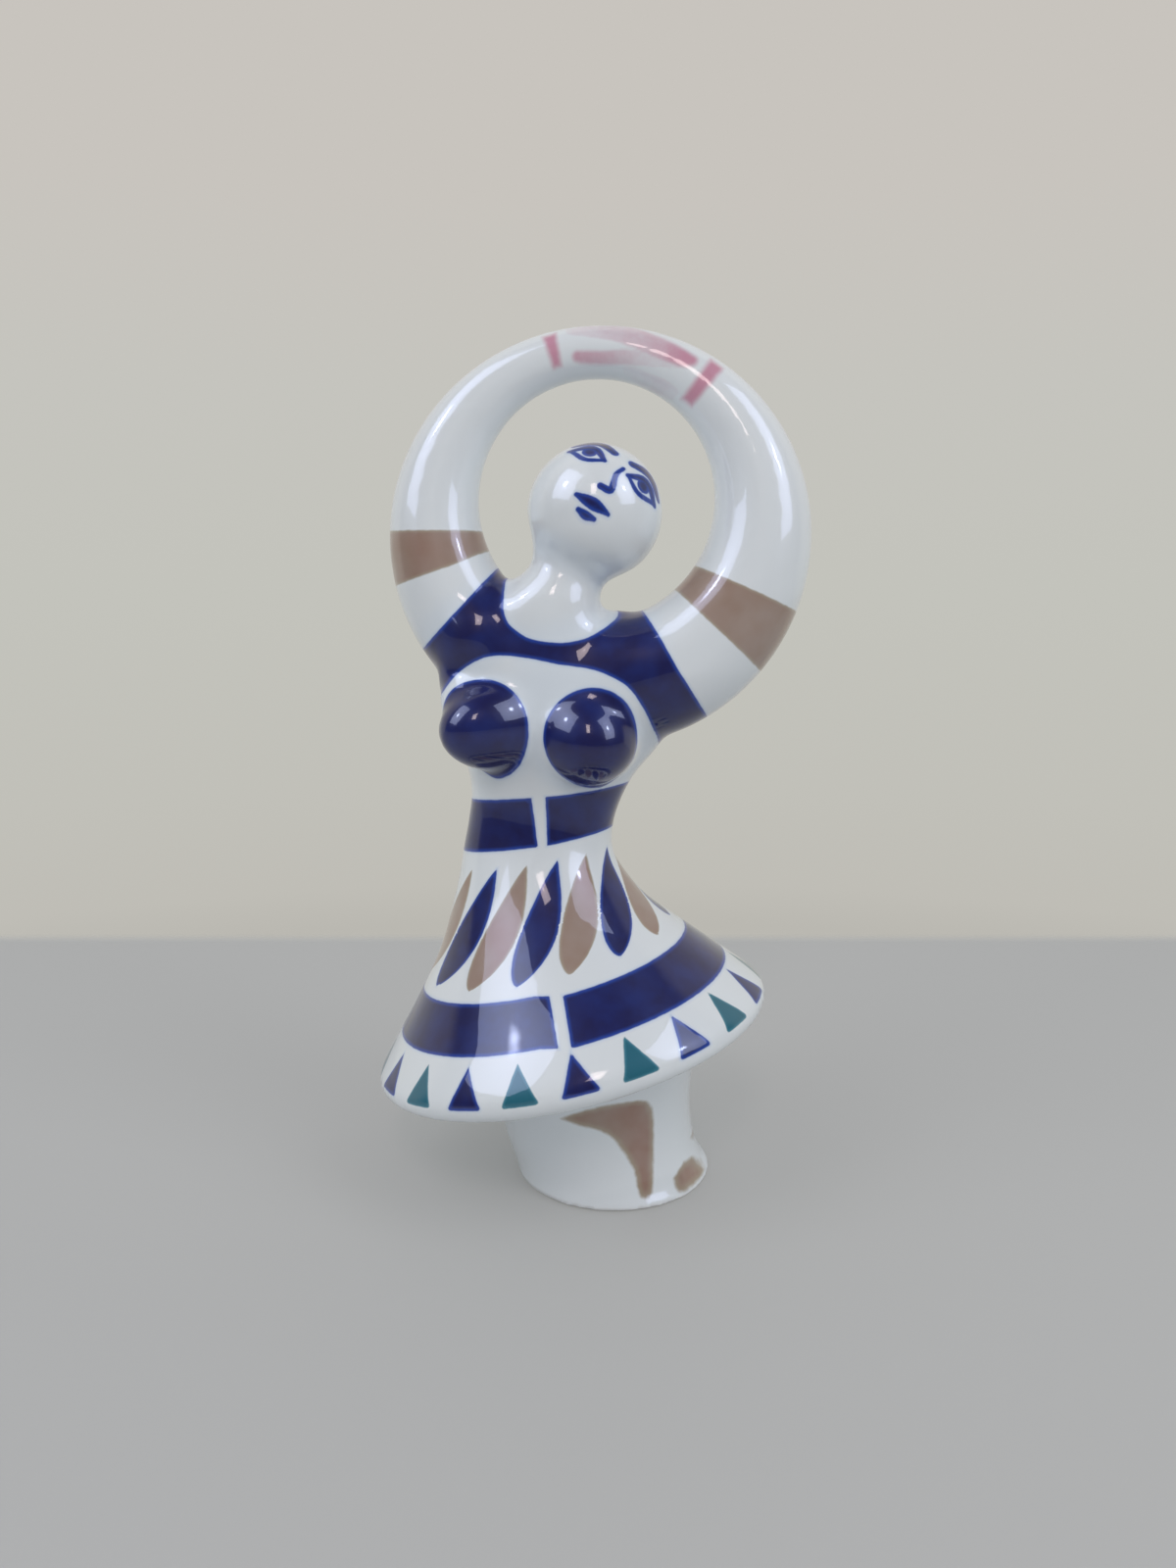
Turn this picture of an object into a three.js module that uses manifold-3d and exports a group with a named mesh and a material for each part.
// A porcelain dancer, slip cast in one piece: a slanting pedestal for her legs, a swirling skirt,
// a narrow waist, a round head thrown back, and two arms that meet overhead in one smooth ring.
// Millimetres, +Z up, and she faces -Y. The origin is the middle of the foot, on the table.
import * as THREE from "three";
import { LoftGeometry } from "three/addons/geometries/LoftGeometry.js";
import { mergeVertices } from "three/addons/utils/BufferGeometryUtils.js";
import Module from "manifold-3d";

// Driving dimensions. A section is an ellipse across the body: its middle (x, y, z), its half width and
// half depth, how far its +X side is rolled up, and how far its top leans back, in degrees.
const FOOT_RADIUS = 19.1;
const FOOT_Y = -1.4;
const LEG_SECTIONS = [
  { x: -0.15, y: FOOT_Y, z: 0, wide: FOOT_RADIUS - 0.3, deep: FOOT_RADIUS, roll: 0, lean: 0 },
  { x: -0.15, y: FOOT_Y, z: 0.4, wide: FOOT_RADIUS, deep: FOOT_RADIUS + 0.3, roll: 0, lean: 0 },
  { x: -0.9, y: -1.2, z: 1.65, wide: 18.5, deep: 18.8, roll: 1, lean: 0 },
  { x: -2.2, y: -1, z: 5.1, wide: 18.2, deep: 18.1, roll: 3, lean: 0 },
  { x: -3.35, y: -1, z: 10.2, wide: 18.5, deep: 18.2, roll: 6, lean: 0 },
  { x: -3.8, y: -1, z: 15.8, wide: 19.2, deep: 18.8, roll: 9, lean: 0 },
  { x: -4.1, y: -1, z: 21.3, wide: 20.9, deep: 20.2, roll: 12, lean: 0 },
  { x: -4.8, y: -1, z: 27.4, wide: 24.2, deep: 23, roll: 13, lean: 0 },
  { x: -5.6, y: -1, z: 31.5, wide: 27.5, deep: 26, roll: 13, lean: 0 },
];

const HEM_RADIUS = 38.9;
const HEM_DEPTH = 34.4;
const HEM_MIDDLE = { x: -8.4, y: -1, z: 28.2 };
const HEM_ROLL = 13.4;
// The hem's lip and the hollow under it, as [share of the hem's radius, height over the hem's plane].
const HEM_PROFILE = [
  [0.3, 0.8],
  [0.45, 1.2],
  [0.7, 0],
  [0.88, -1.8],
  [0.93, -2.1],
  [0.97, -1.7],
  [0.995, -0.6],
  [1, 0.7],
];
const DRESS_SECTIONS = [
  { x: -8.9, y: -1, z: 30.8, wide: 37.3, deep: 33.9, roll: 13.6, lean: 0 },
  { x: -10.1, y: -0.8, z: 35, wide: 33.5, deep: 30.5, roll: 13.9, lean: 0 },
  { x: -11.8, y: -0.2, z: 41.7, wide: 27.4, deep: 24.6, roll: 14.2, lean: 0 },
  { x: -13.6, y: 0.8, z: 49, wide: 21.1, deep: 19.2, roll: 13.4, lean: 1 },
  { x: -14.8, y: 2.2, z: 55.7, wide: 17.3, deep: 15.3, roll: 11.5, lean: 3 },
  { x: -15.3, y: 3.2, z: 60.9, wide: 15.2, deep: 13.3, roll: 9.3, lean: 5 },
  { x: -14.9, y: 3.9, z: 65.9, wide: 14.7, deep: 12.2, roll: 7.8, lean: 5 },
  { x: -13.7, y: 4.2, z: 71.1, wide: 14.8, deep: 11.8, roll: 6.2, lean: 5 },
  { x: -12, y: 4, z: 76.9, wide: 15.8, deep: 12.2, roll: 4.5, lean: 5 },
  { x: -10.3, y: 3, z: 83.6, wide: 18.7, deep: 12.8, roll: 1, lean: 5 },
  { x: -9, y: 2, z: 90.9, wide: 20.1, deep: 12.6, roll: -4, lean: 5 },
  { x: -6.5, y: 1.5, z: 98, wide: 16, deep: 11.5, roll: -8, lean: 5 },
  { x: -4.5, y: 2, z: 103, wide: 9, deep: 8, roll: -10, lean: 5 },
];

// Seen from the front the arms fill the space between two round outlines, of which the inner one
// lies higher, so that the hands are slim and the shoulders full. The ring leans back and her left
// side of it, at +X, comes a little forward.
const ARMS_OUTLINE = { x: -3.45, z: 122.6, wide: 39.2, above: 38.2, below: 38.7 };
const ARMS_HOLE = { x: -4, z: 129.5, wide: 21.9, above: 21.8, below: 21.8 };
const ARMS_MIDDLE_Y = 1.8;
const ARMS_LEAN = 3;
const ARMS_TURN = 5.5;
const ARMS_DEPTH_SHARE = 1.05;

const HEAD = { at: [-3.95, 0.6, 127.3], sizes: [12.5, 12.5, 12.5] };
const NECK_SECTIONS = [
  { x: -13.2, y: 0.8, z: 105, wide: 13.4, deep: 9.8, roll: -22, lean: 3 },
  { x: -12, y: 0.6, z: 108.5, wide: 11.4, deep: 9.3, roll: -22, lean: 3 },
  { x: -10.9, y: 0.2, z: 111.7, wide: 8.8, deep: 8.4, roll: -22, lean: 3 },
  { x: -9.4, y: 0.5, z: 115.3, wide: 7, deep: 7.3, roll: -22, lean: 2 },
  { x: -8.6, y: 0.9, z: 117.6, wide: 7.4, deep: 6.9, roll: -22, lean: 1 },
  { x: -7.2, y: 0.8, z: 120.8, wide: 9.2, deep: 9, roll: -22, lean: 0 },
];

// Halves of egg shapes: where, how far to the side, to the tip and up, and which way the tip points.
const BREASTS = [
  { at: [-19.1, -2.4, 89.4], sizes: [8.8, 16.3, 9.2], facing: [-0.71, -0.7, -0.08] },
  { at: [-7.9, 4, 89.2], sizes: [12.3, 21, 11.6], facing: [0.24, -0.95, -0.22] },
];

// Soft swellings of the chest, the shoulders, the armpit's folds and both sides of the neck's base.
const SWELLINGS = [
  { at: [-10.5, 0.2, 101.5], sizes: [12, 9.6, 9] },
  { at: [-25.6, 0.8, 104.8], sizes: [9.2, 9.6, 9.2] },
  { at: [-25, -1.5, 97], sizes: [7.8, 5.5, 7.8] },
  { at: [-26.6, -6, 94.8], sizes: [5.6, 5, 5.8] },
  { at: [3.8, -2.2, 99.8], sizes: [10, 9.2, 8.8] },
  { at: [-19, 1.2, 109.8], sizes: [5.5, 5.5, 5.6] },
  { at: [0.5, 1.5, 103.9], sizes: [6.5, 6, 6] },
  { at: [-1.2, 0, 102.4], sizes: [8.3, 10, 5.6] },
];

// How finely the skins are faceted.
const AROUND_BODY = 48;
const AROUND_ARM = 24;
const ALONG_ARMS = 50;
const AROUND_NECK = 24;
const AROUND_HEAD = 32;
const AROUND_BREAST = 24;
const AROUND_SWELLING = 16;
const RINGS_BETWEEN = 2;
const SAME_POINT = 1e-4;

const GLAZE = new THREE.MeshStandardMaterial({ color: 0xdde4ea, roughness: 0.12, metalness: 0 });

const wasm = await Module();
wasm.setup();

const radians = THREE.MathUtils.degToRad;

/** The points of one elliptical section, counterclockwise seen from above. */
function ring({ x, y, z, wide, deep, roll, lean }, points) {
  const across = new THREE.Vector3(Math.cos(radians(roll)), 0, Math.sin(radians(roll)));
  const back = new THREE.Vector3(0, Math.cos(radians(lean)), -Math.sin(radians(lean)));
  return Array.from({ length: points }, (_, i) => {
    const turn = (i / points) * 2 * Math.PI;
    return new THREE.Vector3(x, y, z)
      .addScaledVector(across, wide * Math.cos(turn))
      .addScaledVector(back, deep * Math.sin(turn));
  });
}

/** More sections between the given ones, on a smooth curve through all of them. */
function smooth(sections) {
  const place = curveThrough(sections.map((s) => new THREE.Vector3(s.x, s.y, s.z)));
  const size = curveThrough(sections.map((s) => new THREE.Vector3(s.wide, s.deep, 0)));
  const tilt = curveThrough(sections.map((s) => new THREE.Vector3(s.roll, s.lean, 0)));
  const steps = (sections.length - 1) * RINGS_BETWEEN;
  return Array.from({ length: steps + 1 }, (_, i) => {
    const { x, y, z } = place.getPoint(i / steps);
    const { x: wide, y: deep } = size.getPoint(i / steps);
    const { x: roll, y: lean } = tilt.getPoint(i / steps);
    return { x, y, z, wide, deep, roll, lean };
  });
}

function curveThrough(points) {
  return new THREE.CatmullRomCurve3(points, false, "catmullrom", 0.5);
}

/** A closed solid from a geometry whose faces may still be split at seams and caps. */
function solid(geometry) {
  const bare = geometry.index ? geometry.toNonIndexed() : geometry.clone();
  bare.deleteAttribute("normal");
  bare.deleteAttribute("uv");
  const merged = mergeVertices(bare, SAME_POINT);
  return new wasm.Manifold(
    new wasm.Mesh({
      numProp: 3,
      vertProperties: merged.attributes.position.array,
      triVerts: new Uint32Array(merged.index.array),
    }),
  );
}

function loft(rings) {
  return solid(new LoftGeometry(rings, { capStart: true, capEnd: true }));
}

/** The pedestal: foot, rounded edge and slanting legs, up into the skirt. */
function legs() {
  return loft(smooth(LEG_SECTIONS).map((s) => ring(s, AROUND_BODY)));
}

/** The skirt from under its hem, the waist, and the ribs up to the shoulders. */
function dress() {
  const axis = new THREE.Vector3(-Math.sin(radians(HEM_ROLL)), 0, Math.cos(radians(HEM_ROLL)));
  const hem = HEM_PROFILE.map(([share, height]) => ({
    x: HEM_MIDDLE.x + axis.x * height,
    y: HEM_MIDDLE.y,
    z: HEM_MIDDLE.z + axis.z * height,
    wide: HEM_RADIUS * share,
    deep: HEM_DEPTH * share,
    roll: HEM_ROLL,
    lean: 0,
  }));
  const upper = smooth([hem.at(-1), ...DRESS_SECTIONS]);
  return loft([...hem.slice(0, -1), ...upper].map((s) => ring(s, AROUND_BODY)));
}

/** How far along a ray from `from` an outline of two half ellipses lies. */
function reach(outline, from, direction) {
  let height = from.y > outline.z ? outline.above : outline.below;
  let far = 0;
  for (let pass = 0; pass < 2; pass++) {
    const toMiddle = new THREE.Vector2((outline.x - from.x) / outline.wide, (outline.z - from.y) / height);
    const ray = new THREE.Vector2(direction.x / outline.wide, direction.y / height);
    const along = toMiddle.dot(ray) / ray.lengthSq();
    far = along + Math.sqrt(along ** 2 - (toMiddle.lengthSq() - 1) / ray.lengthSq());
    height = from.y + far * direction.y > outline.z ? outline.above : outline.below;
  }
  return far;
}

/** Both arms and the shoulders, as one ring between the outline and the hole. */
function arms() {
  const from = new THREE.Vector2((ARMS_OUTLINE.x + ARMS_HOLE.x) / 2, (ARMS_OUTLINE.z + ARMS_HOLE.z) / 2);
  const rings = Array.from({ length: ALONG_ARMS }, (_, i) => {
    const turn = (i / ALONG_ARMS) * 2 * Math.PI;
    const outward = new THREE.Vector2(Math.sin(turn), Math.cos(turn));
    const outer = reach(ARMS_OUTLINE, from, outward);
    const inner = reach(ARMS_HOLE, from, outward);
    const half = (outer - inner) / 2;
    return Array.from({ length: AROUND_ARM }, (__, j) => {
      const angle = (j / AROUND_ARM) * 2 * Math.PI;
      const far = (outer + inner) / 2 + half * Math.cos(angle);
      const deep = -half * ARMS_DEPTH_SHARE * Math.sin(angle);
      return new THREE.Vector3(outward.x * far, deep, from.y + outward.y * far);
    });
  });
  const shoulders = ARMS_OUTLINE.z - ARMS_OUTLINE.wide / 2;
  const geometry = new LoftGeometry([...rings, rings[0]]);
  geometry
    .translate(0, 0, -shoulders)
    .rotateX(-radians(ARMS_LEAN))
    .rotateZ(-radians(ARMS_TURN))
    .translate(from.x, ARMS_MIDDLE_Y, shoulders);
  return solid(geometry);
}

function neck() {
  return loft(smooth(NECK_SECTIONS).map((s) => ring(s, AROUND_NECK)));
}

/** A ball drawn out to the side, along the way it faces, and upwards. */
function ball({ at, sizes, facing = [0, -1, 0] }, around) {
  const ahead = new THREE.Vector3(...facing).normalize();
  const side = new THREE.Vector3(0, 0, 1).cross(ahead).normalize();
  const top = ahead.clone().cross(side);
  const turned = new THREE.Matrix4().makeBasis(side, ahead.negate(), top);
  const geometry = new THREE.SphereGeometry(1, around, around / 2).rotateX(Math.PI / 2);
  return solid(geometry.scale(...sizes).applyMatrix4(turned).translate(...at));
}

/** The half of an egg shape that lies ahead of its middle. */
function breast(egg) {
  const ahead = new THREE.Vector3(...egg.facing).normalize();
  return ball(egg, AROUND_BREAST).trimByPlane(ahead.toArray(), ahead.dot(new THREE.Vector3(...egg.at)));
}

const swellings = SWELLINGS.map((swelling) => ball(swelling, AROUND_SWELLING));
const pieces = [dress(), arms(), neck(), ball(HEAD, AROUND_HEAD), ...BREASTS.map(breast), ...swellings];
const whole = pieces.reduce((sum, piece) => sum.add(piece), legs());

/** A solid's skin as a three.js geometry. */
function skin(made) {
  const { numProp, vertProperties, triVerts } = made.getMesh();
  const position = new Float32Array((vertProperties.length / numProp) * 3);
  for (let i = 0; i < position.length / 3; i++) {
    position.set(vertProperties.subarray(i * numProp, i * numProp + 3), i * 3);
  }
  const geometry = new THREE.BufferGeometry();
  geometry.setAttribute("position", new THREE.BufferAttribute(position, 3));
  geometry.setIndex(new THREE.BufferAttribute(triVerts, 1));
  geometry.computeVertexNormals();
  return geometry;
}

const dancer = new THREE.Mesh(skin(whole), GLAZE);
dancer.name = "dancer";

const figurine = new THREE.Group();
figurine.add(dancer);
export default figurine;
